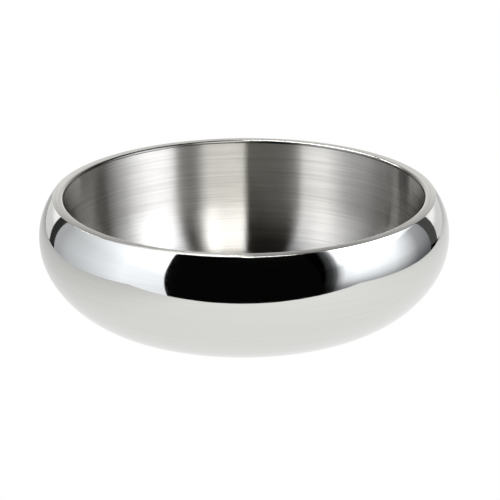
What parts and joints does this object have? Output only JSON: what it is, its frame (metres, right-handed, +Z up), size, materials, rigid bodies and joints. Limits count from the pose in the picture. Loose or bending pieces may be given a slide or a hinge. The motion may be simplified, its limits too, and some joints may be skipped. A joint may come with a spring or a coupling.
{
  "type": "shaving bowl",
  "caption": "Wide low double-walled stainless bowl with a rounded, mirror-polished belly, a narrower mouth with a flat lip and a brushed, flat-floored cavity for working up shaving lather.",
  "frame": {"origin": "middle of the foot, on the table", "axes": "+Z up along the bowl's axis, towards the mouth; the bowl is round, so +X and +Y are any two square directions"},
  "size_m": [0.128, 0.128, 0.0395],
  "materials": {
    "polished_steel": "mirror-polished stainless steel",
    "brushed_steel": "stainless steel brushed round the cavity, satin on the lip",
    "ground_weld": "weld ground flush with the lip and polished",
    "plug_steel": "satin stainless steel"
  },
  "bodies": {
    "root": {"outer_shell": "polished_steel", "inner_liner": "brushed_steel", "rim_weld": "ground_weld", "vent_plug": "plug_steel"}
  },
  "joints": []
}
